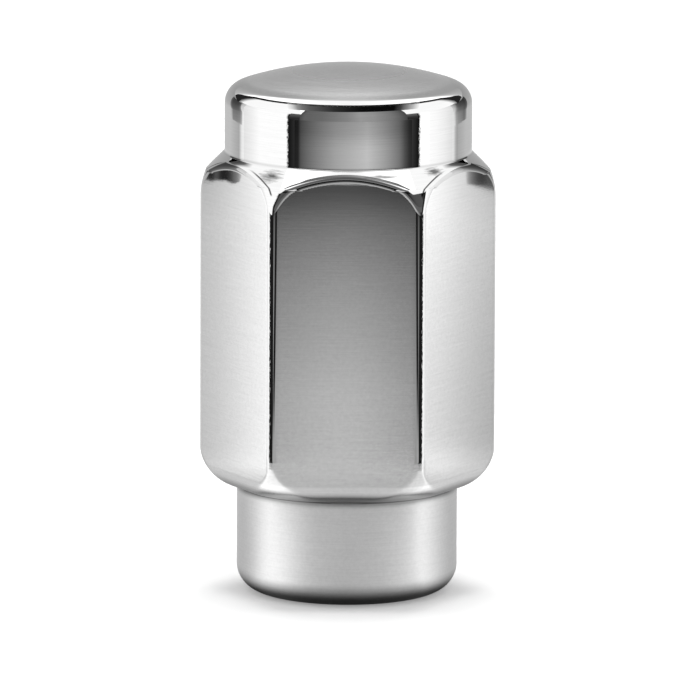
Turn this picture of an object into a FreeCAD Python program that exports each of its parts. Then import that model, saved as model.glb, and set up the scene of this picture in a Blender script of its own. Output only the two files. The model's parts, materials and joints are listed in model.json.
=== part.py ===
"""Closed-end shank lug nut: one steel forging, turned at both ends, with a blind tapped hole.

Millimetres. The origin is the centre of the shank's end face, which the nut stands on. +Z runs up the
axis of the hole to the dome. One wrench flat faces -Y, so two corners of the hexagon lie on X.
"""

import FreeCAD
import Part

import os
from math import acos, atan2, cos, degrees, pi, radians, sin, sqrt, tan

# Wrench hexagon, and how much its corners lose to the bar's rounding and to the lathe
across_flats = 21.0
hexagon_height = 27.3
corner_round = 1.1
corner_turning = 0.12

# Shank that enters the wheel, and how far it stands in from the flats
shank_length = 8.75
shank_step = 1.55
shank_end_round = 2.15

# Bull nose turned on the corners below, and how far above the shoulder the flats finish rolling under
nose_radius = 3.35
roll_rise = 0.1

# Crown turned on the corners above, then a straight chamfer up to the neck
crown_radius = 7.25
crown_height = 4.15
chamfer_angle = 45.0

# Closed head: a round neck under a shallow dome, and how far the neck stands in from the flats
head_height = 6.95
neck_step = 0.5
rim_round = 1.6
dome_radius = 28.0

# Blind hole for an M12 x 1.5 stud, with the thread's root as its wall
thread_diameter = 12.0
thread_depth = 28.0
mouth_chamfer = 0.35
drill_diameter = 10.5
drill_depth = 32.0
drill_point_angle = 118.0

FLATS = 6
FULL_TURN = 360.0
TOUCHING = 0.001
AXIS = FreeCAD.Vector(0, 0, 1)
ORIGIN = FreeCAD.Vector(0, 0, 0)

# Heights and radii that follow from the sizes above
neck_bottom = shank_length + hexagon_height
overall_height = neck_bottom + head_height
flat_distance = across_flats / 2
corner_distance = flat_distance / cos(pi / FLATS)
corner_radius = corner_distance - corner_turning
shank_radius = flat_distance - shank_step
neck_radius = flat_distance - neck_step


def at(radius, height):
    """Point in the section plane."""
    return FreeCAD.Vector(radius, 0, height)


def straight(start, end):
    """Straight edge of a section."""
    return Part.LineSegment(start, end).toShape()


def arc(centre, radius, start, end):
    """Arc of a section between two angles, in degrees up from the horizontal."""
    middle = (start + end) / 2
    points = [
        centre + at(radius * cos(radians(angle)), radius * sin(radians(angle)))
        for angle in (start, middle, end)
    ]
    return Part.Arc(*points).toShape()


def end_of(edge):
    """Last point of an edge, where the next one starts."""
    return edge.valueAt(edge.LastParameter)


def turned(outline):
    """Solid turned about the axis from an open outline that starts and ends on the axis."""
    closing = straight(end_of(outline[-1]), outline[0].valueAt(outline[0].FirstParameter))
    return Part.Face(Part.Wire(outline + [closing])).revolve(ORIGIN, AXIS, FULL_TURN)


def nose_centre():
    """Centre of the bull nose's arc, which runs from the shank, at the shank's length, out to the corners."""
    radius = corner_radius - nose_radius
    rise = sqrt(nose_radius ** 2 - (shank_radius - radius) ** 2)
    return at(radius, shank_length + rise)


def shank():
    """Shank with its rounded end, and a plain core inside the hexagon that carries it."""
    seat_radius = shank_radius - shank_end_round
    end_face = straight(ORIGIN, at(seat_radius, 0))
    end_round = arc(at(seat_radius, shank_end_round), shank_end_round, -90, 0)
    side = straight(end_of(end_round), at(shank_radius, shank_length + nose_radius))
    top = straight(end_of(side), at(0, shank_length + nose_radius))
    return turned([end_face, end_round, side, top])


def corner_outline():
    """Shoulder, bull nose, full corner, crown and chamfer, as the lathe leaves them on the corners.

    The nose is drawn in two arcs, as a plain ring under the flats and the part that only the corners keep.
    """
    centre = nose_centre()
    start, turn = (
        -degrees(acos((radius - centre.x) / nose_radius)) for radius in (shank_radius, flat_distance)
    )
    shoulder = straight(at(0, shank_length), at(shank_radius, shank_length))
    nose_ring = arc(centre, nose_radius, start, turn)
    nose_corners = arc(centre, nose_radius, turn, 0)

    crown_centre = at(corner_radius - crown_radius, neck_bottom - crown_height)
    slope = radians(chamfer_angle)
    reach = (neck_radius - crown_centre.x) * sin(slope) + crown_height * cos(slope)
    crown_end = 90 - chamfer_angle - degrees(acos(reach / crown_radius))
    crown = arc(crown_centre, crown_radius, 0, crown_end)

    corner = straight(end_of(nose_corners), at(corner_radius, crown_centre.z))
    chamfer = straight(end_of(crown), at(neck_radius, neck_bottom))
    return [shoulder, nose_ring, nose_corners, corner, crown, chamfer]


def head_outline():
    """Neck, rim and dome, each one tangent to the next."""
    dome_centre = at(0, overall_height - dome_radius)
    rim_radius = neck_radius - rim_round
    rise = sqrt((dome_radius - rim_round) ** 2 - rim_radius ** 2)
    rim_centre = dome_centre + at(rim_radius, rise)
    meeting = degrees(atan2(rise, rim_radius))

    neck = straight(at(neck_radius, neck_bottom), at(neck_radius, rim_centre.z))
    rim = arc(rim_centre, rim_round, 0, meeting)
    dome = arc(dome_centre, dome_radius, meeting, 90)
    return [neck, rim, dome]


def hexagon_bar():
    """Six-sided bar with rounded corners, as tall as the nut."""
    corners = [
        FreeCAD.Vector(corner_distance * cos(turn), corner_distance * sin(turn), 0)
        for turn in (2 * pi * side / FLATS for side in range(FLATS + 1))
    ]
    bar = Part.Face(Part.makePolygon(corners)).extrude(AXIS * overall_height)
    upright = [edge for edge in bar.Edges if edge.BoundBox.ZLength > TOUCHING]
    return bar.makeFillet(corner_round, upright)


def rolled_slab():
    """Slab along Y, as thick as the bar across its two flats, which face X and roll under at the shoulder."""
    roll = flat_distance - shank_radius
    foot = shank_length + roll_rise
    edge = at(shank_radius, foot + roll)
    right = arc(edge, roll, -90, 0)
    left = arc(at(-edge.x, edge.z), roll, 180, 270)
    outline = [
        right,
        straight(end_of(right), at(flat_distance, overall_height)),
        straight(at(flat_distance, overall_height), at(-flat_distance, overall_height)),
        straight(at(-flat_distance, overall_height), at(-flat_distance, edge.z)),
        left,
        straight(end_of(left), at(shank_radius, foot)),
    ]
    slab = Part.Face(Part.Wire(outline)).extrude(FreeCAD.Vector(0, 2 * corner_distance, 0))
    slab.translate(FreeCAD.Vector(0, -corner_distance, 0))
    return slab


def outside():
    """Outside of the nut: a piece of the hexagonal bar, turned above and below, on its shank."""
    head = turned(corner_outline() + head_outline()).common(hexagon_bar())
    for turn in range(FLATS // 2):
        slab = rolled_slab()
        slab.rotate(ORIGIN, AXIS, FULL_TURN * (turn + 0.5) / FLATS)
        head = head.common(slab)
    return head.fuse(shank()).removeSplitter().Solids[0]


def stud_hole():
    """Blind hole: countersunk mouth, threaded wall, bare drilled wall and the drill's point."""
    thread_radius = thread_diameter / 2
    drill_radius = drill_diameter / 2
    point_height = drill_radius / tan(radians(drill_point_angle / 2))
    step_height = thread_radius - drill_radius
    stops = [
        ORIGIN,
        at(thread_radius + mouth_chamfer, 0),
        at(thread_radius, mouth_chamfer),
        at(thread_radius, thread_depth - step_height),
        at(drill_radius, thread_depth),
        at(drill_radius, drill_depth),
        at(0, drill_depth + point_height),
    ]
    return turned([straight(start, end) for start, end in zip(stops, stops[1:])])


def lug_nut():
    """Whole nut, the outside less its hole."""
    return outside().cut(stud_hole())


os.makedirs("parts", exist_ok=True)
lug_nut().exportStep("parts/lug_nut.step")
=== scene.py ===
import json
from math import acos, atan2, cos, degrees, hypot, pi, radians, sin, sqrt, tan

import bmesh
import bpy
from mathutils import Matrix, Vector


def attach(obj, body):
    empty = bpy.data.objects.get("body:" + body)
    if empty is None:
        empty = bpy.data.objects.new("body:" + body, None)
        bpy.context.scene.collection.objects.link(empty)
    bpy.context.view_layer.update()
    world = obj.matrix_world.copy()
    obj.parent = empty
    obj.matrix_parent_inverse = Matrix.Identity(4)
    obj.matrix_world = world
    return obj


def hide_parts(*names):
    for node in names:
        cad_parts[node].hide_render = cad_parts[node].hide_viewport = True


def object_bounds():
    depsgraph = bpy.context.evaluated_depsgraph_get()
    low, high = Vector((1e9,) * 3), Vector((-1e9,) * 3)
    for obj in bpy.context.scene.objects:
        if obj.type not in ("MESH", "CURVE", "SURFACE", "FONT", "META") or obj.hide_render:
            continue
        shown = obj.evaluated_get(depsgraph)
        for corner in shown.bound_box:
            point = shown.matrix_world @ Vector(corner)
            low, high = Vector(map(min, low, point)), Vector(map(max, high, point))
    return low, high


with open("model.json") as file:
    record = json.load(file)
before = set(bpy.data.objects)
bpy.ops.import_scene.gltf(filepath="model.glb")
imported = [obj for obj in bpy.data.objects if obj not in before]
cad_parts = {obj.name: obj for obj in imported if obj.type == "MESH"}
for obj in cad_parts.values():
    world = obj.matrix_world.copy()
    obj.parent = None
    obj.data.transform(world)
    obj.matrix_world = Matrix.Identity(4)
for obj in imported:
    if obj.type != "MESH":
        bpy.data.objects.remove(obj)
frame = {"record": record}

cad_low, cad_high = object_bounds()
mounts = {mount["name"]: mount for mount in frame["record"]["mounts"]}

# Chrome plating
# Bright nickel and chrome over the whole nut. The neck, the chamfer and the hexagon's rounded corners are
# buffed like a mirror, the flats and the dome are satin, and the shank keeps the fine rings of the lathe.
MM = 0.001
chrome_reflectance = 0.82

# Roughness, painted shade and highlight, and the crease's strength, each at heights in millimetres
finish_by_height = [
    (0, 0.30), (8.6, 0.28), (9.6, 0.20), (11.5, 0.12), (30.5, 0.12), (32.2, 0.085), (33.6, 0.05),
    (34.4, 0.02), (41.55, 0.02), (41.75, 0.26), (43, 0.28),
]
# Painted shade in the inside corner where the nose meets the shank and in a thin line at the neck's root,
# and a painted highlight band across the nose
painted_shade_by_height = [
    (0, 1.0), (8.2, 1.0), (8.45, 0.72), (8.65, 0.3), (8.8, 0.14), (9.1, 0.22), (9.3, 0.42), (9.65, 0.95),
    (9.9, 1.18), (10.36, 1.18), (10.42, 1.0), (35.95, 1.0), (36.06, 0.6), (36.2, 1.0), (43, 1.0),
]
crease_by_height = [(0, 0), (33.97, 0), (34.013, 1), (35.35, 1), (35.6, 0), (43, 0)]

# Rounded corners, told by how far they lie in from the nearest flat's plane, and buffed above the nose
corner_depths = (0.008 * MM, 0.3 * MM)
corner_finish = 0.02
buffed_above = 12.3

# Painted dark reflection lines at the chamfer's foot: an edge over the front and back flats, a crease over
# the others.
# The spread is how many half widths out a line has faded away.
edge_depth = 0.07 * MM
edge_half_width = 0.045 * MM
edge_above = 34.3
crease_depth = 0.27 * MM
crease_half_width = 0.035 * MM
painted_line_darkness = 0.9
line_spread = 1.6

# Marks in the metal: how many cells of noise go to the metre along each axis, and how much they change.
# The mottle shows in full only where the finish is at least as rough as mottled_finish.
grain_cells = (300, 300, 9000)
grain_bump = 0.4
grain_height = 0.02 * MM
grain_change = 0.14
mottle_cells = (3500, 3500, 3500)
mottle_change = 0.2
mottled_finish = 0.12
hair_cells = (900, 900, 7000)
stain_raggedness = 2.4

# Stains on the chamfer: place, half width and half height in millimetres, and darkness
stains = [
    (-6.1, -8.8, 35.35, 1.0, 0.45, 0.85),
    (6.98, -7.75, 35.67, 0.85, 0.28, 0.8),
    (3.03, -10.0, 35.58, 1.3, 0.12, 0.7),
]


def add_node(tree, kind, **values):
    """New shader node, with the values of its named inputs."""
    node = tree.nodes.new(kind)
    for name, value in values.items():
        node.inputs[name].default_value = value
    return node


def maths(tree, operation, first, second=0.0, third=0.0):
    """Output of a Math node whose inputs are sockets or plain numbers."""
    node = tree.nodes.new("ShaderNodeMath")
    node.operation = operation
    for slot, value in zip(node.inputs, (first, second, third)):
        if isinstance(value, bpy.types.NodeSocket):
            tree.links.new(value, slot)
        else:
            slot.default_value = value
    return node.outputs[0]


def mixed(tree, first, second, share):
    """First value where the share is nothing, second value where it is one."""
    return maths(tree, "MULTIPLY_ADD", maths(tree, "SUBTRACT", second, first), share, first)


def graded(tree, value, stops):
    """Shade that follows a value through (value, shade) stops."""
    low, high = stops[0][0], stops[-1][0]
    peak = max(shade for place, shade in stops)
    node = tree.nodes.new("ShaderNodeValToRGB")
    elements = node.color_ramp.elements
    while len(elements) < len(stops):
        elements.new(0.5)
    for element, (place, shade) in zip(elements, stops):
        grey = shade / peak
        element.position = (place - low) / (high - low)
        element.color = (grey, grey, grey, 1)
    share = maths(tree, "DIVIDE", maths(tree, "SUBTRACT", value, low), high - low)
    tree.links.new(share, node.inputs[0])
    return maths(tree, "MULTIPLY", node.outputs[0], peak)


def line_at(tree, depth, middle, half_width):
    """One on a line at this depth, falling to nothing on both sides of it."""
    aside = maths(tree, "ABSOLUTE", maths(tree, "SUBTRACT", depth, middle))
    line = maths(tree, "SUBTRACT", line_spread, maths(tree, "DIVIDE", aside, half_width))
    return maths(tree, "MINIMUM", maths(tree, "MAXIMUM", line, 0.0), 1.0)


def noise(tree, place, cells, **values):
    """Noise with this many cells to the metre along each axis."""
    stretched = add_node(tree, "ShaderNodeMapping", Scale=cells)
    tree.links.new(place, stretched.inputs["Vector"])
    node = add_node(tree, "ShaderNodeTexNoise", Scale=1.0, **values)
    tree.links.new(stretched.outputs[0], node.inputs["Vector"])
    return node.outputs[0]


def shaken(tree, value, marks, change):
    """Value that a noise moves up and down, by this much in all."""
    return maths(tree, "MULTIPLY_ADD", maths(tree, "SUBTRACT", marks, 0.5), change, value)


def stain(tree, place, hair, spot):
    """Shade of one stain, darkest in its middle, which fades out raggedly a little past its edge."""
    across, back, up, half_width, half_height, dark = spot
    width, rise = half_width * MM, half_height * MM
    near = add_node(
        tree, "ShaderNodeMapping",
        Location=(-across * MM / width, -back * MM / width, -up * MM / rise),
        Scale=(1 / width, 1 / width, 1 / rise),
    )
    tree.links.new(place, near.inputs["Vector"])
    length = tree.nodes.new("ShaderNodeVectorMath")
    length.operation = "LENGTH"
    tree.links.new(near.outputs[0], length.inputs[0])
    away = shaken(tree, length.outputs["Value"], hair, stain_raggedness)
    return graded(tree, away, [
        (0, 1 - dark), (0.2, 1 - dark), (0.6, 1 - 0.6 * dark), (1.24, 1), (2, 1),
    ])


def chrome_plating():
    material = bpy.data.materials.new("chrome_plating")
    material.use_nodes = True
    tree = material.node_tree
    shader = tree.nodes["Principled BSDF"]
    shader.inputs["Metallic"].default_value = 1.0
    place = tree.nodes.new("ShaderNodeTexCoord").outputs["Object"]
    apart = tree.nodes.new("ShaderNodeSeparateXYZ")
    tree.links.new(place, apart.inputs[0])
    height = maths(tree, "DIVIDE", apart.outputs["Z"], MM)

    # Distance in from the nearest flat's plane
    half_x = maths(tree, "MULTIPLY", apart.outputs["X"], cos(pi / 6))
    half_y = maths(tree, "MULTIPLY", apart.outputs["Y"], sin(pi / 6))
    slanted = maths(tree, "ADD", maths(tree, "ABSOLUTE", half_x), maths(tree, "ABSOLUTE", half_y))
    square = maths(tree, "ABSOLUTE", apart.outputs["Y"])
    depth = maths(tree, "SUBTRACT", cad_high.y, maths(tree, "MAXIMUM", slanted, square))

    shallow, deep = corner_depths
    on_corner = maths(tree, "COMPARE", depth, (shallow + deep) / 2, (deep - shallow) / 2)
    buffed = maths(tree, "MULTIPLY", on_corner, maths(tree, "GREATER_THAN", height, buffed_above))
    turned_finish = graded(tree, height, finish_by_height)
    buffed_finish = maths(tree, "MINIMUM", turned_finish, corner_finish)
    finish = mixed(tree, turned_finish, buffed_finish, buffed)
    tree.links.new(finish, shader.inputs["Roughness"])

    grain = noise(tree, place, grain_cells, Detail=2.0, Roughness=0.6)
    bump = add_node(tree, "ShaderNodeBump", Strength=grain_bump, Distance=grain_height)
    tree.links.new(maths(tree, "MULTIPLY", grain, finish), bump.inputs["Height"])
    tree.links.new(bump.outputs[0], shader.inputs["Normal"])

    # Painted dark reflection lines along the foot of the chamfer
    crease = line_at(tree, depth, crease_depth, crease_half_width)
    crease = maths(tree, "MULTIPLY", crease, graded(tree, height, crease_by_height))
    edge = line_at(tree, depth, edge_depth, edge_half_width)
    edge = maths(tree, "MULTIPLY", edge, maths(tree, "GREATER_THAN", height, edge_above))
    line = mixed(tree, crease, edge, maths(tree, "GREATER_THAN", square, slanted))
    unlined = maths(tree, "MULTIPLY_ADD", line, -painted_line_darkness, 1.0)
    # Painted shade and highlight by height, darkened along the painted dark reflection lines
    painted_shading = maths(tree, "MULTIPLY", graded(tree, height, painted_shade_by_height), unlined)

    mottle = noise(tree, place, mottle_cells, Detail=3.0, Roughness=0.7)
    satin = maths(tree, "MINIMUM", maths(tree, "DIVIDE", finish, mottled_finish), 1.0)
    marks = shaken(tree, 1.0, mottle, maths(tree, "MULTIPLY", satin, mottle_change))
    marks = maths(tree, "MULTIPLY", marks, shaken(tree, 1.0, grain, grain_change))

    hair = noise(tree, place, hair_cells, Detail=3.0, Roughness=0.65)
    for spot in stains:
        marks = maths(tree, "MULTIPLY", marks, stain(tree, place, hair, spot))
    plated = maths(tree, "MULTIPLY", marks, chrome_reflectance)
    tree.links.new(maths(tree, "MULTIPLY", painted_shading, plated), shader.inputs["Base Color"])
    return material


chrome = chrome_plating()

# Body of the nut
# One steel forging, turned at both ends. The lathe leaves the shank, the bull nose, the crown, the neck and
# the dome, and the six flats are the faces of the hexagonal bar, rolled over softly where they end.
flats = 6
flat_distance = cad_high.y
shank_radius = mounts["shank"]["dims"]["r_mm"] * MM
thread_root = mounts["stud_thread"]["dims"]["r_mm"] * MM

shank_length = 8.75 * MM
shank_end_round = 2.15 * MM
neck_bottom = 36.05 * MM
neck_step = 0.5 * MM
corner_turning = 0.12 * MM
corner_round = 1.1 * MM
nose_radius = 3.35 * MM
crown_radius = 7.25 * MM
crown_height = 4.15 * MM
chamfer_angle = radians(45)
rim_round = 1.6 * MM
dome_radius = 28.0 * MM
root_round = 0.2 * MM

# Blends where the flats meet chamfer and nose, and how far above the shoulder they finish rolling under
chamfer_blend = 0.51 * MM
nose_blend = 0.25 * MM
roll_rise = 0.1 * MM

mouth_chamfer = 0.35 * MM
thread_depth = 28.0 * MM
drill_radius = 5.25 * MM
drill_depth = 32.0 * MM
drill_point_angle = radians(118)

# Mesh: columns round the nut, which crowd at the corners, and guard rows close to the ends of a straight
columns = 432
crowding = 0.75
guard_distance = 0.02 * MM
guard_share = 0.2
merge_distance = 0.0001 * MM
on_axis = 0.001 * MM


def arc_points(centre, radius, start, end, steps):
    """Points along an arc of the section, both ends included, angles in degrees up from the horizontal."""
    angles = [radians(start + (end - start) * step / steps) for step in range(steps + 1)]
    return [
        Vector((centre[0] + radius * cos(angle), centre[1] + radius * sin(angle)))
        for angle in angles
    ]


def straight_points(start, end, steps):
    """Points along a straight stretch, without its two ends but with a point close to each of them."""
    start, end = Vector(start), Vector(end)
    shares = [step / steps for step in range(1, steps)]
    close = min(guard_distance / (end - start).length, guard_share / steps)
    return [start.lerp(end, share) for share in [close] + shares + [1 - close]]


corner_distance = flat_distance / cos(pi / flats)
corner_radius = corner_distance - corner_turning
neck_radius = flat_distance - neck_step

dome_centre = (0, cad_high.z - dome_radius)
rim_inset = neck_radius - rim_round
rim_height = dome_centre[1] + sqrt((dome_radius - rim_round) ** 2 - rim_inset ** 2)
meeting = degrees(atan2(rim_height - dome_centre[1], rim_inset))
dome = arc_points(dome_centre, dome_radius, 90, meeting, steps=24)
rim = arc_points((rim_inset, rim_height), rim_round, meeting, 0, steps=20)[1:]

root_reach = root_round * tan(chamfer_angle / 2)
neck = straight_points(rim[-1], (neck_radius, neck_bottom + root_reach), steps=7)
root_centre = (neck_radius + root_round, neck_bottom + root_reach)
neck_root = arc_points(root_centre, root_round, 180, 180 + degrees(chamfer_angle), steps=5)

crown_centre = (corner_radius - crown_radius, neck_bottom - crown_height)
reach = (neck_radius - crown_centre[0]) * sin(chamfer_angle) + crown_height * cos(chamfer_angle)
crown_end = 90 - degrees(chamfer_angle) - degrees(acos(reach / crown_radius))
crown = arc_points(crown_centre, crown_radius, crown_end, 0, steps=24)
chamfer = straight_points(neck_root[-1], crown[0], steps=24)

nose_inset = corner_radius - nose_radius
nose_height = shank_length + sqrt(nose_radius ** 2 - (shank_radius - nose_inset) ** 2)
nose_end = -degrees(acos((shank_radius + root_round - nose_inset) / nose_radius))
corner = straight_points(crown[-1], (corner_radius, nose_height), steps=12)
nose = arc_points((nose_inset, nose_height), nose_radius, 0, nose_end, steps=44)
shank_root_centre = (shank_radius + root_round, nose[-1].y - root_round)
shank_root = arc_points(shank_root_centre, root_round, 90, 180, steps=5)[1:]

seat_radius = shank_radius - shank_end_round
shank_end = arc_points((seat_radius, shank_end_round), shank_end_round, 0, -90, steps=20)
shank = straight_points(shank_root[-1], shank_end[0], steps=7)

mouth = Vector((thread_root + mouth_chamfer, 0))
wall_start = Vector((thread_root, mouth_chamfer))
wall_end = Vector((thread_root, thread_depth - (thread_root - drill_radius)))
drill_start = Vector((drill_radius, thread_depth))
drill_end = Vector((drill_radius, drill_depth))
drill_point = Vector((0, drill_depth + drill_radius / tan(drill_point_angle / 2)))
hole = [mouth, wall_start]
hole += straight_points(wall_start, wall_end, steps=8) + [wall_end, drill_start]
hole += straight_points(drill_start, drill_end, steps=2) + [drill_end]
hole += straight_points(drill_end, drill_point, steps=5) + [drill_point]

section = dome + rim + neck + neck_root + chamfer + crown + corner + nose
outside_count = len(section)
section += shank_root + shank + shank_end + hole


def bar_radius(angle, height):
    """Distance from the axis to the hexagonal bar's side, corners rounded, in this direction.

    At the shoulder the bar grows narrower, because its flats roll under there in a quarter round.
    """
    roll = flat_distance - shank_radius
    below = shank_length + roll_rise + roll - height
    apart = flat_distance
    if below > 0:
        apart = shank_radius + sqrt(max(0, roll ** 2 - below ** 2))
    from_flat = (angle + pi / 2 + pi / flats) % (2 * pi / flats) - pi / flats
    from_corner = pi / flats - abs(from_flat)
    bend_distance = (apart - corner_round) / cos(pi / flats)
    across = bend_distance * sin(from_corner)
    if across > corner_round / 2:
        return apart / cos(from_flat)
    return bend_distance * cos(from_corner) + sqrt(corner_round ** 2 - across ** 2)


def rolled_over(turned_radius, side, blend):
    """Smaller of the turned radius and the bar's side, with the edge between them rounded over."""
    inner = min(turned_radius, side)
    overlap = blend - abs(turned_radius - side)
    if overlap <= 0:
        return inner
    return inner - overlap ** 2 / (4 * blend)


def lug_nut_body():
    bm = bmesh.new()
    blend_layer = bm.verts.layers.float.new("blend")
    rows = [bm.verts.new((point.x, 0, point.y)) for point in section]
    for index in range(1, outside_count):
        along = section[index + 1] - section[index - 1]
        tilt = abs(along.x) / along.length
        upper = section[index].y > crown_centre[1]
        rows[index][blend_layer] = tilt * (chamfer_blend if upper else nose_blend)
    edges = [bm.edges.new(pair) for pair in zip(rows, rows[1:])]
    bmesh.ops.spin(
        bm, geom=rows + edges, cent=(0, 0, 0), axis=(0, 0, 1),
        angle=2 * pi / flats, steps=columns // flats,
    )
    bmesh.ops.spin(
        bm, geom=list(bm.verts) + list(bm.edges) + list(bm.faces), cent=(0, 0, 0), axis=(0, 0, 1),
        angle=2 * pi * (flats - 1) / flats, steps=flats - 1, use_duplicate=True,
    )
    bmesh.ops.remove_doubles(bm, verts=bm.verts, dist=merge_distance)
    for vert in bm.verts:
        radius = hypot(vert.co.x, vert.co.y)
        if radius < on_axis:
            continue
        angle = atan2(vert.co.y, vert.co.x)
        angle -= crowding / flats * sin(flats * angle)
        blend = vert[blend_layer]
        if radius > shank_radius and vert.co.z > shank_length - root_round:
            side = bar_radius(angle, vert.co.z)
            radius = rolled_over(radius, side, blend) if blend > 0 else min(radius, side)
        vert.co.x = radius * cos(angle)
        vert.co.y = radius * sin(angle)
    bmesh.ops.recalc_face_normals(bm, faces=bm.faces)
    for face in bm.faces:
        face.smooth = True
    mesh = bpy.data.meshes.new("nut_body")
    bm.to_mesh(mesh)
    bm.free()
    return mesh


body = bpy.data.objects.new("nut_body", lug_nut_body())
bpy.context.scene.collection.objects.link(body)
body.data.materials.append(chrome)
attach(body, "root")
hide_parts("lug_nut")

# Stud thread
# A right-hand M12 x 1.5 thread, tapped in the blind hole. It is one helical ridge on the hole's wall, which
# fades out at the countersunk mouth and where the tap stopped.
pitch = 1.5 * MM
sharp_height = pitch * sqrt(3) / 2
thread_height = sharp_height * 5 / 8
ridge_foot = pitch * 7 / 16
ridge_crest = pitch / 8
foot_depth = 0.03 * MM

# Mesh: steps in a turn, turns over which the ridge fades, and the share of its height left at its ends
steps_in_turn = 48
fade_turns = 0.5
faded_share = 0.02


def helical_ridge():
    bm = bmesh.new()
    low = mouth_chamfer + ridge_foot
    turns = (wall_end.y - low - ridge_foot) / pitch
    steps = int(turns * steps_in_turn)
    base_radius = thread_root + foot_depth
    profile = [
        (base_radius, -ridge_foot),
        (thread_root - thread_height, -ridge_crest),
        (thread_root - thread_height, ridge_crest),
        (base_radius, ridge_foot),
    ]
    verts = [bm.verts.new((radius, 0, low + rise)) for radius, rise in profile]
    first = bm.faces.new(verts)
    edges = list(first.edges)
    bmesh.ops.spin(
        bm, geom=verts + edges, cent=(0, 0, 0), axis=(0, 0, 1),
        dvec=(0, 0, pitch / steps_in_turn), angle=2 * pi * steps / steps_in_turn,
        steps=steps, use_merge=False,
    )
    bm.verts.ensure_lookup_table()
    bm.faces.new(bm.verts[-4:])
    fade = fade_turns * steps_in_turn
    for index, vert in enumerate(bm.verts):
        step = index // len(profile)
        strength = max(faded_share, min(1, step / fade, (steps - step) / fade))
        radius = hypot(vert.co.x, vert.co.y)
        wanted = base_radius + (radius - base_radius) * strength
        vert.co.x *= wanted / radius
        vert.co.y *= wanted / radius
    bmesh.ops.recalc_face_normals(bm, faces=bm.faces)
    mesh = bpy.data.meshes.new("stud_thread")
    bm.to_mesh(mesh)
    bm.free()
    return mesh


thread = bpy.data.objects.new("stud_thread", helical_ridge())
bpy.context.scene.collection.objects.link(thread)
thread.data.materials.append(chrome)
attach(thread, "root")

# Floor
# Pale matt studio sweep. What the camera and the plating see of it is white, and it keeps the nut's shadow.
floor_size = 4.0
floor_drop = 0.02 * MM
floor_colour = 0.8
floor_glow = 0.26


def pale_floor():
    material = bpy.data.materials.new("pale_floor")
    material.use_nodes = True
    tree = material.node_tree
    shader = tree.nodes["Principled BSDF"]
    shader.inputs["Base Color"].default_value = (floor_colour, floor_colour, floor_colour, 1)
    shader.inputs["Roughness"].default_value = 1.0
    shader.inputs["Specular IOR Level"].default_value = 0.0
    shader.inputs["Emission Color"].default_value = (1, 1, 1, 1)
    path = tree.nodes.new("ShaderNodeLightPath")
    seen = maths(tree, "ADD", path.outputs["Is Camera Ray"], path.outputs["Is Glossy Ray"])
    seen = maths(tree, "ADD", seen, path.outputs["Is Transmission Ray"])
    tree.links.new(maths(tree, "MULTIPLY", seen, floor_glow), shader.inputs["Emission Strength"])
    return material


bm = bmesh.new()
bmesh.ops.create_grid(bm, x_segments=1, y_segments=1, size=floor_size / 2)
bmesh.ops.translate(bm, verts=bm.verts, vec=(0, 0, -floor_drop))
floor_mesh = bpy.data.meshes.new("floor")
bm.to_mesh(floor_mesh)
bm.free()
floor = bpy.data.objects.new("floor", floor_mesh)
bpy.context.scene.collection.objects.link(floor)
floor_mesh.materials.append(pale_floor())

# Reflection cards
# White, grey and black boards stand in a ring round the nut, as round any bright metal in a studio. Only
# the plating sees them. Angles are in degrees round the nut from the camera's side, positive to the right,
# and radii and heights are in millimetres.
ring_radius = 70
inner_radius = 69.5
degrees_in_step = 2

# Bottom of the ring, tops of its lower zone and its grey zone, and its rim under the roof
ring_low = 0.3
low_zone = 25.05
grey_zone = 31
horizon = 60

# Height of the tears in a ragged edge, and how far they reach for each degree of raggedness
tear_height = 0.16
tear_reach = 5


def reflected_only(name, bm):
    """Board that only the plating sees, with its shader tree and the three parts of its own coordinates."""
    mesh = bpy.data.meshes.new(name)
    bm.to_mesh(mesh)
    bm.free()
    material = bpy.data.materials.new(name)
    material.use_nodes = True
    tree = material.node_tree
    tree.nodes.clear()
    place = tree.nodes.new("ShaderNodeTexCoord").outputs["Object"]
    apart = tree.nodes.new("ShaderNodeSeparateXYZ")
    tree.links.new(place, apart.inputs[0])
    mesh.materials.append(material)
    board = bpy.data.objects.new(name, mesh)
    bpy.context.scene.collection.objects.link(board)
    board.visible_camera = False
    board.visible_diffuse = False
    board.visible_shadow = False
    board.visible_transmission = False
    return tree, apart.outputs


def shine(tree, strength):
    """Make the board glow with this brightness."""
    glow = tree.nodes.new("ShaderNodeEmission")
    tree.links.new(strength, glow.inputs["Strength"])
    output = tree.nodes.new("ShaderNodeOutputMaterial")
    tree.links.new(glow.outputs[0], output.inputs["Surface"])


def turn_of(tree, apart, middle=0.0):
    """Angle round the nut from the camera's side, in degrees, without a jump near the middle."""
    turn = maths(tree, "ARCTAN2", apart["X"], maths(tree, "MULTIPLY", apart["Y"], -1.0))
    return maths(tree, "WRAP", maths(tree, "DEGREES", turn), middle + 180, middle - 180)


def on_ring(turn, radius, height):
    """Point at this angle round the nut, at this radius and height."""
    return Vector((radius * sin(radians(turn)), -radius * cos(radians(turn)), height)) * MM


def ribbon(pairs):
    """Mesh of a ribbon whose two edges run through pairs of points."""
    bm = bmesh.new()
    rungs = [[bm.verts.new(point) for point in pair] for pair in pairs]
    for (low_start, high_start), (low_end, high_end) in zip(rungs, rungs[1:]):
        bm.faces.new((low_start, low_end, high_end, high_start))
    return bm


def turns_between(left, right, steps):
    return [left + (right - left) * step / steps for step in range(steps + 1)]


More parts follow.
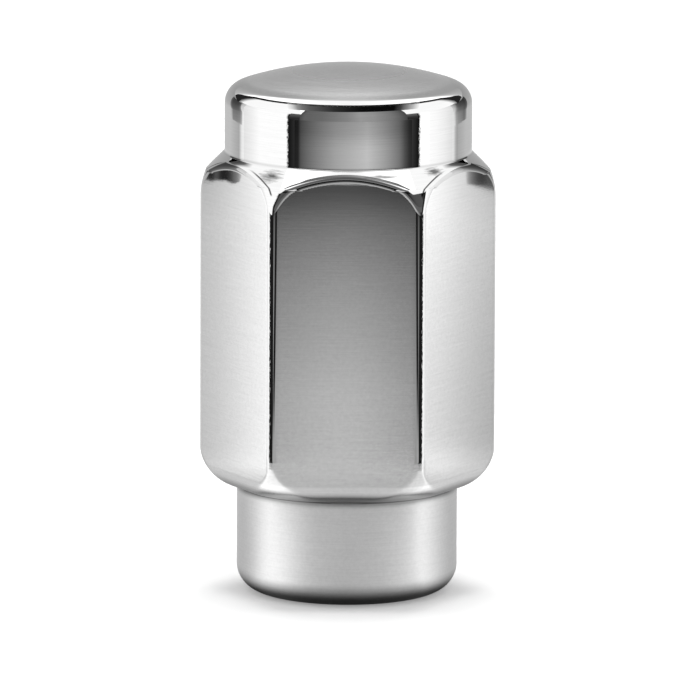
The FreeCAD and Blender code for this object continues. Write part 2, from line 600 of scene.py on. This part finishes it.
def card(
    name, left, right, low, high, around, upward=None,
    radius=ring_radius, top_radius=None, lean=0, ragged=0,
):
    """Bent board between two angles and two heights, graded around and upward.

    Its top leans round the ring and the edges between its shades are ragged, each by so many degrees.
    """
    turns = turns_between(left, right, round((right - left) / degrees_in_step))
    tree, apart = reflected_only(name, ribbon([
        (on_ring(turn, radius, low), on_ring(turn + lean, top_radius or radius, high))
        for turn in turns
    ]))
    height = maths(tree, "DIVIDE", apart["Z"], MM)
    leant = maths(tree, "MULTIPLY", maths(tree, "SUBTRACT", height, low), lean / (high - low))
    turn = maths(tree, "SUBTRACT", turn_of(tree, apart, (left + right) / 2), leant)
    if ragged:
        spot = tree.nodes.new("ShaderNodeCombineXYZ")
        tree.links.new(maths(tree, "DIVIDE", turn, ragged), spot.inputs["X"])
        tree.links.new(maths(tree, "DIVIDE", height, tear_height), spot.inputs["Y"])
        tears = add_node(tree, "ShaderNodeTexNoise", Scale=1.0, Detail=1.0)
        tree.links.new(spot.outputs[0], tears.inputs["Vector"])
        turn = shaken(tree, turn, tears.outputs[0], tear_reach * ragged)
    strength = graded(tree, turn, around)
    if upward:
        strength = maths(tree, "MULTIPLY", strength, graded(tree, height, upward))
    shine(tree, strength)


def plain(left, right, shade):
    return [(left, shade), (right, shade)]


card("white_left", -107, -77, ring_low, horizon, [(-107, 0.92), (-95, 1.05), (-85, 1.2), (-77, 1.2)])
card(
    "white_left_high", -77, -52, low_zone, horizon,
    [(-77, 1.2), (-54.3, 1.2), (-53.7, 0.01), (-52, 0.01)], ragged=1.1,
)
card("black_left", -52, -47, low_zone, horizon, [(-52, 0.01), (-47, 0.03)])
card(
    "grey_front", -47, 58, low_zone, grey_zone,
    [
        (-47, 0.015), (-43.5, 0.02), (-41, 0.09), (-38, 0.12), (-24, 0.25), (-10, 0.38), (3, 0.46),
        (17, 0.55), (31, 0.38), (46, 0.18), (51, 0.08), (55, 0.035), (58, 0.02),
    ],
    [(low_zone, 1.0), (25.8, 1.15), (27.8, 1.15), (28.6, 1.02), (29.2, 0.85), (grey_zone, 0.75)],
)
card("dark_front", -47, 58, grey_zone, 40, plain(-47, 58, 0.13))
card(
    "black_front", -47, 58, 40, horizon,
    [(-47, 0.1), (-25, 0.08), (-14, 0.02), (22, 0.015), (35, 0.07), (58, 0.1)],
)
card("black_right", 58, 64, low_zone, horizon, [(58, 0.04), (62, 0.02), (64, 0.01)])
card(
    "white_right_high", 64, 77, low_zone, horizon,
    [(64, 0.01), (65.7, 0.01), (66.3, 1.25), (77, 1.25)], ragged=1.1,
)
card("white_right", 77, 108, ring_low, horizon, [(77, 1.2), (85, 1.15), (95, 1.05), (108, 0.88)])
back_right = [
    (108, 1.2), (110, 1.1), (111.3, 0.94), (112.5, 0.76), (113.7, 0.65), (114.9, 0.58),
    (116, 0.50), (118, 0.58), (136, 0.72), (180, 0.7),
]
card(
    "grey_back_right", 108, 180, ring_low, horizon, back_right,
    [
        (ring_low, 0.85), (6, 0.88), (14.6, 1.0), (20, 1.12), (24.6, 1.12), (25.4, 0.8), (29, 0.8),
        (36, 0.65), (horizon, 0.5),
    ],
)
back_left = [
    (-180, 0.7), (-136, 0.76), (-122, 0.64), (-117, 0.60), (-116, 0.56), (-115, 0.66), (-114, 0.77),
    (-113, 0.92), (-112, 1.08), (-110, 1.25), (-107, 1.3),
]
card(
    "grey_back_left", -180, -107, ring_low, horizon, back_left,
    [(ring_low, 1), (24.6, 1), (25.4, 0.8), (29, 0.8), (36, 0.65), (horizon, 0.5)],
)
card(
    "low_black_left", -77, -42, ring_low, low_zone,
    [(-77, 1.2), (-75.5, 1.2), (-74.5, 0.012), (-42, 0.012)], ragged=9,
)
card(
    "low_black_right", 42, 77, ring_low, low_zone,
    [(42, 0.012), (74.5, 0.012), (75.5, 1.2), (77, 1.2)], ragged=9,
)
card(
    "front_board", -42, 42, ring_low, low_zone,
    [
        (-42, 0.72), (-5.3, 0.75), (-3.7, 0.89), (-2, 0.97), (-1, 1.0), (0, 0.99), (1, 0.93),
        (2.2, 0.83), (3.3, 0.73), (4.3, 0.62), (42, 0.60),
    ],
    [
        (ring_low, 0.56), (1.4, 0.57), (3.8, 0.60), (7.1, 0.58), (10.3, 0.49), (13.6, 0.435),
        (16.8, 0.366), (20.1, 0.263), (21.7, 0.205), (23.4, 0.12), (low_zone, 0.075),
    ],
)
# Edges of the front board, which come in towards its top
edge_fade = [(1.2, 36), (3, 33), (5, 20), (7, 8), (9, 2), (11, 1), (low_zone, 1)]
card(
    "board_edge_left", -45.5, -31.5, 1.2, low_zone, plain(-46, -31, 0.012), edge_fade,
    radius=inner_radius, lean=17.5,
)
card(
    "board_edge_right", 31.5, 45.5, 1.2, low_zone, plain(31, 46, 0.012), edge_fade,
    radius=inner_radius, lean=-17.5,
)
# Skirts, which carry the back boards on over the floor
card("skirt_left", -180, -107, 0.05, ring_low, back_left, radius=58, top_radius=ring_radius)
card("skirt_right", 108, 180, 0.05, ring_low, back_right, radius=58, top_radius=ring_radius)
# Dark posts at the back corners, seen in the ends of the neck, and their feet, seen in the side flats
card(
    "post_left", -133, -109.5, 28.6, 57,
    [(-133, 0.3), (-128, 0.13), (-120, 0.13), (-114, 0.15), (-111, 0.25), (-109.5, 0.45)],
    [(28.6, 2.2), (30, 1.3), (34, 1.0), (48, 0.5), (57, 0.4)],
    radius=inner_radius, lean=-5,
)
card(
    "post_right", 111, 137, 28.6, 57,
    [(111, 0.5), (114, 0.25), (118, 0.18), (124, 0.15), (131, 0.1), (137, 0.2)],
    [(28.6, 2.0), (30, 1.3), (34, 1.0), (46, 0.5), (57, 0.3)],
    radius=inner_radius, lean=5,
)
foot_top = 25.3


def foot(name, points):
    """Foot of a post, whose ragged lower edge and shade follow (turn, low, shade) points."""
    tree, apart = reflected_only(name, ribbon([
        [on_ring(turn, inner_radius, height) for height in (low, foot_top)]
        for turn, low, shade in points
    ]))
    around = turn_of(tree, apart, points[0][0])
    shine(tree, graded(tree, around, [(turn, shade) for turn, low, shade in points]))


foot("foot_left", [
    (-118, 23.7, 0.45), (-116.2, 23.62, 0.45), (-116.05, 23.74, 0.4), (-115.9, 23.8, 0.35),
    (-115.75, 23.7, 0.1), (-115.6, 23.76, 0.025), (-115.45, 23.62, 0.02), (-115.3, 23.58, 0.02),
    (-115.15, 23.68, 0.05), (-115.0, 23.76, 0.1), (-114.85, 23.7, 0.08), (-114.64, 23.75, 0.025),
    (-114.5, 23.7, 0.02), (-114.3, 23.77, 0.02), (-114.15, 23.66, 0.03), (-114.0, 23.6, 0.05),
    (-113.85, 23.5, 0.09), (-113.7, 23.46, 0.15), (-113.55, 23.54, 0.2), (-113.45, 23.58, 0.25),
    (-113.3, 23.62, 0.4), (-113.15, 24.3, 0.6),
])
foot("foot_right", [
    (112.75, 24.2, 0.7), (112.85, 23.55, 0.5), (112.95, 23.48, 0.35), (113.1, 23.56, 0.25),
    (113.25, 23.42, 0.18), (113.4, 23.46, 0.13), (113.57, 23.33, 0.085), (113.7, 23.36, 0.07),
    (113.89, 23.25, 0.055), (114.05, 23.27, 0.06), (114.2, 23.17, 0.08), (114.35, 23.12, 0.09),
    (114.5, 22.94, 0.1), (114.65, 23.0, 0.1), (114.85, 22.98, 0.1), (118, 22.9, 0.1),
])
# Grey card held close in front of the rim, and the black edges that it shares with the neck
rim_card_radius = 14
rim_card_low = 39.45
card(
    "rim_card", -29, 37.5, rim_card_low, 45.3,
    [
        (-29, 0.08), (-26, 0.14), (-15, 0.17), (-7, 0.22), (0, 0.27), (8, 0.38), (16, 0.34), (22, 0.27),
        (27, 0.22), (32, 0.15), (37.5, 0.07),
    ],
    radius=rim_card_radius,
)
card(
    "rim_edge_left", -36, -29, rim_card_low, 42.2, plain(-36, -29, 0.02),
    [(rim_card_low, 1), (40.4, 2), (42.2, 7)], radius=rim_card_radius,
)
card(
    "rim_edge_right", 37.5, 45, rim_card_low, 42.0, plain(37.5, 45, 0.02),
    [(rim_card_low, 1), (40.4, 2), (42.0, 8)], radius=rim_card_radius,
)

# Black flags over the rim
# A narrow bow lies just above the front of the rim, and a wire runs round from it to both sides. Angles and
# radii are as for the cards.
flag_height = 42.2
flag_steps = 90
bow_reach = (-34, 42)
bow_radii = (9.42, 11.15)
bow_shades = [
    (-34, 1.1), (-31, 0.8), (-28, 0.35), (-25, 0.2), (-21, 0.12), (-14, 0.07), (-7, 0.03), (0, 0.015),
    (8, 0.004), (26, 0.004), (30, 0.06), (34, 0.28), (38, 0.6), (42, 1.1),
]
wire_reach = 90
wire_radii = [(0, 9.55), (60, 9.58), (68, 9.95), (77, 10.5), (84, 11.5), (90, 12.6)]
wire_half_widths = [(0, 0.18), (60, 0.19), (68, 0.27), (77, 0.6), (84, 1.2), (90, 1.6)]


def between(stops, place):
    """Value at a place on a line through (place, value) stops."""
    for (low, first), (high, second) in zip(stops, stops[1:]):
        if place <= high:
            return first + (second - first) * max(0, place - low) / (high - low)
    return stops[-1][1]


def flag(name, reach, radii_at, shades):
    """Flat black bow between two angles, its two radii a function of the angle."""
    tree, apart = reflected_only(name, ribbon([
        [on_ring(turn, radius, flag_height) for radius in radii_at(abs(turn))]
        for turn in turns_between(*reach, flag_steps)
    ]))
    shine(tree, graded(tree, turn_of(tree, apart), shades))


def wire_at(turn):
    middle, half = between(wire_radii, turn), between(wire_half_widths, turn)
    return middle - half, middle + half


flag("rim_bow", bow_reach, lambda turn: bow_radii, bow_shades)
flag("rim_wire", (-wire_reach, wire_reach), wire_at, plain(-wire_reach, wire_reach, 0.02))

# Roof of the reflection ring
# A white sheet overhead and a white sheet on each side of it. Towards the back all three turn grey, a dark
# band crosses the outer two, and a dark frame parts them. Sizes are shares of the roof's radius.
panel_side = 0.69
frame_width = 0.04
frame_start = 0.5


def roof():
    bm = bmesh.new()
    points = arc_points((0, horizon * MM), ring_radius * MM, 0, 90, steps=18)
    verts = [bm.verts.new((point.x, 0, point.y)) for point in points]
    edges = [bm.edges.new(pair) for pair in zip(verts, verts[1:])]
    bmesh.ops.spin(
        bm, geom=verts + edges, cent=(0, 0, 0), axis=(0, 0, 1),
        angle=2 * pi, steps=90, use_merge=True,
    )
    bmesh.ops.remove_doubles(bm, verts=bm.verts, dist=merge_distance)
    tree, apart = reflected_only("roof", bm)
    sideways = maths(tree, "DIVIDE", maths(tree, "ABSOLUTE", apart["X"]), ring_radius * MM)
    backwards = maths(tree, "DIVIDE", apart["Y"], ring_radius * MM)
    overhead = graded(
        tree, backwards,
        [(-1, 1.2), (0.70, 1.2), (0.76, 0.6), (0.82, 0.38), (0.9, 0.35), (1, 0.34)],
    )
    widened = graded(tree, sideways, [(0, 0.93), (0.2, 1), (0.5, 1.35), (1, 1.5)])
    panel = maths(tree, "MULTIPLY", overhead, widened)
    beside = graded(
        tree, backwards,
        [(-1, 1.2), (0.42, 1.15), (0.54, 0.15), (0.64, 0.06), (0.8, 0.4), (1, 0.5)],
    )
    strength = mixed(tree, panel, beside, maths(tree, "GREATER_THAN", sideways, panel_side))
    from_frame = maths(tree, "ABSOLUTE", maths(tree, "SUBTRACT", sideways, panel_side))
    off_frame = maths(tree, "GREATER_THAN", from_frame, frame_width)
    before_frame = maths(tree, "LESS_THAN", backwards, frame_start)
    strength = maths(tree, "MULTIPLY", strength, maths(tree, "MAXIMUM", off_frame, before_frame))
    shine(tree, strength)


roof()

# Grey sheet on the floor, with a painted shadow of the nut
# A round grey sheet lies under the nut, which only the plating sees. The shank shows it, and the nose.


def floor_sheet():
    bm = bmesh.new()
    bmesh.ops.create_circle(bm, cap_ends=True, segments=90, radius=ring_radius * MM)
    bmesh.ops.translate(bm, verts=bm.verts, vec=(0, 0, -floor_drop / 2))
    tree, apart = reflected_only("floor_sheet", bm)
    turn = turn_of(tree, apart)
    across = maths(tree, "MULTIPLY", apart["X"], apart["X"])
    distance = maths(tree, "SQRT", maths(tree, "MULTIPLY_ADD", apart["Y"], apart["Y"], across))
    # Side of the shank that throws the view here: about half the turn, corrected for the shank's width
    offset = maths(tree, "SINE", maths(tree, "RADIANS", maths(tree, "MULTIPLY", turn, 0.5)))
    offset = maths(tree, "DIVIDE", maths(tree, "MULTIPLY", offset, shank_radius), distance)
    offset = maths(tree, "DEGREES", maths(tree, "ARCSINE", offset))
    side = maths(tree, "MULTIPLY", maths(tree, "ADD", turn, offset), 0.5)
    around = graded(tree, side, [
        (-90, 0.6), (-68, 0.5), (-57, 0.62), (-51, 0.9), (-43, 1.26), (-36, 1.24), (-30, 1.1), (-25, 0.9),
        (-19, 0.7), (-14, 0.61), (0, 0.52), (18, 0.63), (28, 0.80), (35, 0.90), (41, 1.2), (48, 0.95),
        (57, 0.65), (68, 0.5), (90, 0.55),
    ])
    # Painted shadow of the nut on the floor: the sheet is dark close round the nut and reaches full
    # brightness by 24 mm
    painted_shadow = graded(tree, maths(tree, "DIVIDE", distance, MM), [
        (0, 0.02), (8.4, 0.03), (9.1, 0.2), (10.0, 0.5), (12, 0.8), (15, 0.98), (24, 1), (ring_radius, 1),
    ])
    shine(tree, maths(tree, "MULTIPLY", around, painted_shadow))


floor_sheet()

# Soft light
# One large softbox overhead and an even white room.
room_glow = 0.64
softbox_size = 0.3
softbox_power = 2.5
softbox_place = Vector((0, 0.04, 0.6))

world = bpy.data.worlds.new("studio")
bpy.context.scene.world = world
world.use_nodes = True
world.node_tree.nodes["Background"].inputs["Color"].default_value = (1, 1, 1, 1)
world.node_tree.nodes["Background"].inputs["Strength"].default_value = room_glow

softbox = bpy.data.lights.new("softbox", "AREA")
softbox.shape = "DISK"
softbox.size = softbox_size
softbox.energy = softbox_power
softbox_object = bpy.data.objects.new("softbox", softbox)
softbox_object.location = softbox_place
softbox_object.rotation_euler = (-softbox_place).to_track_quat("-Z", "Y").to_euler()
bpy.context.scene.collection.objects.link(softbox_object)

# Camera
# Long lens, a little above the nut and square to the front flat, as in the photo.
camera_azimuth = radians(0.7)
camera_elevation = radians(10.36)
camera_roll = radians(0.234)
camera_distance = 912.6 * MM
aim_height = 19.66 * MM
lens = 578.6
sensor_width = 36
shift_x = 0.0036
nearest_seen = 10 * MM

camera_data = bpy.data.cameras.new("camera")
camera_data.lens = lens
camera_data.sensor_width = sensor_width
camera_data.shift_x = shift_x
camera_data.clip_start = nearest_seen
camera = bpy.data.objects.new("camera", camera_data)
aim = Vector((0, 0, aim_height))
away = Vector((
    sin(camera_azimuth) * cos(camera_elevation),
    -cos(camera_azimuth) * cos(camera_elevation),
    sin(camera_elevation),
))
camera.location = aim + away * camera_distance
look = (-away).to_track_quat("-Z", "Y").to_matrix()
camera.rotation_euler = (look @ Matrix.Rotation(camera_roll, 3, "Z")).to_euler()
bpy.context.scene.collection.objects.link(camera)
bpy.context.scene.camera = camera
bpy.context.scene.view_settings.view_transform = "Standard"
